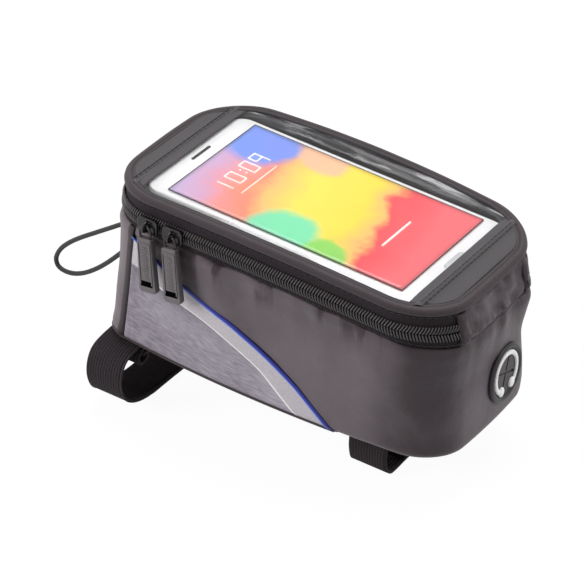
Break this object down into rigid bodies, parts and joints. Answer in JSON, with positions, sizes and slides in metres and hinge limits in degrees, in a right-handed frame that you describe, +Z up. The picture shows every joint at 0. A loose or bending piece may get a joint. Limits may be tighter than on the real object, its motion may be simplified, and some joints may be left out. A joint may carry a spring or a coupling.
{
  "type": "bike phone bag",
  "caption": "Padded top-tube bag with a zipped hinged lid, a clear phone pocket, hook-and-loop straps, a cord loop and an audio port.",
  "frame": {"origin": "middle of the flat underside, on the face that sits on the bicycle's top tube", "axes": "+X along the bag towards the end with the lid's hinge and the audio port, -Y towards the side that faces the viewer, +Z up out of the lid"},
  "size_m": [0.2437, 0.1112, 0.1275],
  "materials": {
    "black_fabric": "coated black fabric, satin",
    "webbing": "ribbed black webbing and tape",
    "grey_fabric": "grey woven fabric",
    "silver_fabric": "pale reflective cloth",
    "blue_fabric": "blue piping",
    "inner_cloth": "plain lining cloth",
    "foam": "soft foam",
    "black_plastic": "moulded black plastic",
    "slider_metal": "dark painted zinc",
    "black_rubber": "matt rubber",
    "white_rubber": "white rubber",
    "clear_film": "clear flexible film",
    "white_plastic": "glossy white",
    "screen_glass": "lit screen under glass"
  },
  "bodies": {
    "bag": {"side_wall": "black_fabric", "front_panel": "black_fabric", "grey_panel_near": "grey_fabric", "grey_panel_far": "grey_fabric", "stripe_near": "silver_fabric", "stripe_far": "silver_fabric", "piping_near": "blue_fabric", "piping_far": "blue_fabric", "edge_binding_near": "black_fabric", "edge_binding_far": "black_fabric", "wall_padding": "foam", "wall_lining": "inner_cloth", "floor_lining": "inner_cloth", "base_panel": "black_fabric", "base_board": "black_plastic", "lower_zip_tape": "webbing", "lower_teeth": "black_plastic", "hinge_strip": "black_fabric", "zip_tab_near": "black_fabric", "zip_tab_far": "black_fabric", "audio_port": "black_rubber", "audio_mark": "white_rubber", "strap_front_near": "webbing", "strap_front_far": "webbing", "strap_rear_near": "webbing", "strap_rear_far": "webbing", "cord_loop": "webbing", "cord_patch": "black_fabric"},
    "lid": {"lid_binding": "webbing", "upper_zip_tape": "webbing", "upper_teeth": "black_plastic", "lid_panel_front": "black_fabric", "lid_panel_rear": "black_fabric", "clear_window": "clear_film", "phone_pocket": "inner_cloth", "phone_body": "white_plastic", "phone_screen": "screen_glass"},
    "front_slider": {"slider_front": "slider_metal"},
    "rear_slider": {"slider_rear": "slider_metal"},
    "front_pull": {"pull_front": "black_plastic"},
    "rear_pull": {"pull_rear": "black_plastic"}
  },
  "joints": [
    {"name": "lid_hinge", "type": "hinge", "parent": "bag", "child": "lid", "pos_m": [0.0925, 0, 0.069], "axis": [0, 1, 0], "range_deg": [0, 95], "deforming": ["hinge_strip", "zip_tab_near", "zip_tab_far"]},
    {"name": "front_slider_travel", "type": "hinge", "parent": "bag", "child": "front_slider", "pos_m": [-0.06141, -0.01943, 0.07624], "axis": [0.0324, -0.0162, -0.9993], "range_deg": [0, 76]},
    {"name": "rear_slider_travel", "type": "hinge", "parent": "bag", "child": "rear_slider", "pos_m": [-0.02298, 0.36276, -0.48259], "axis": [0.0226, 0.8042, 0.5939], "range_deg": [0, 8.8]},
    {"name": "front_pull_swing", "type": "hinge", "parent": "front_slider", "child": "front_pull", "pos_m": [-0.06181, -0.0541, 0.07667], "axis": [-0.9987, 0.0507, 0], "range_deg": [0, 150]},
    {"name": "rear_pull_swing", "type": "hinge", "parent": "rear_slider", "child": "rear_pull", "pos_m": [-0.04765, -0.05473, 0.07699], "axis": [-0.9993, 0.0385, 0], "range_deg": [0, 150]}
  ]
}
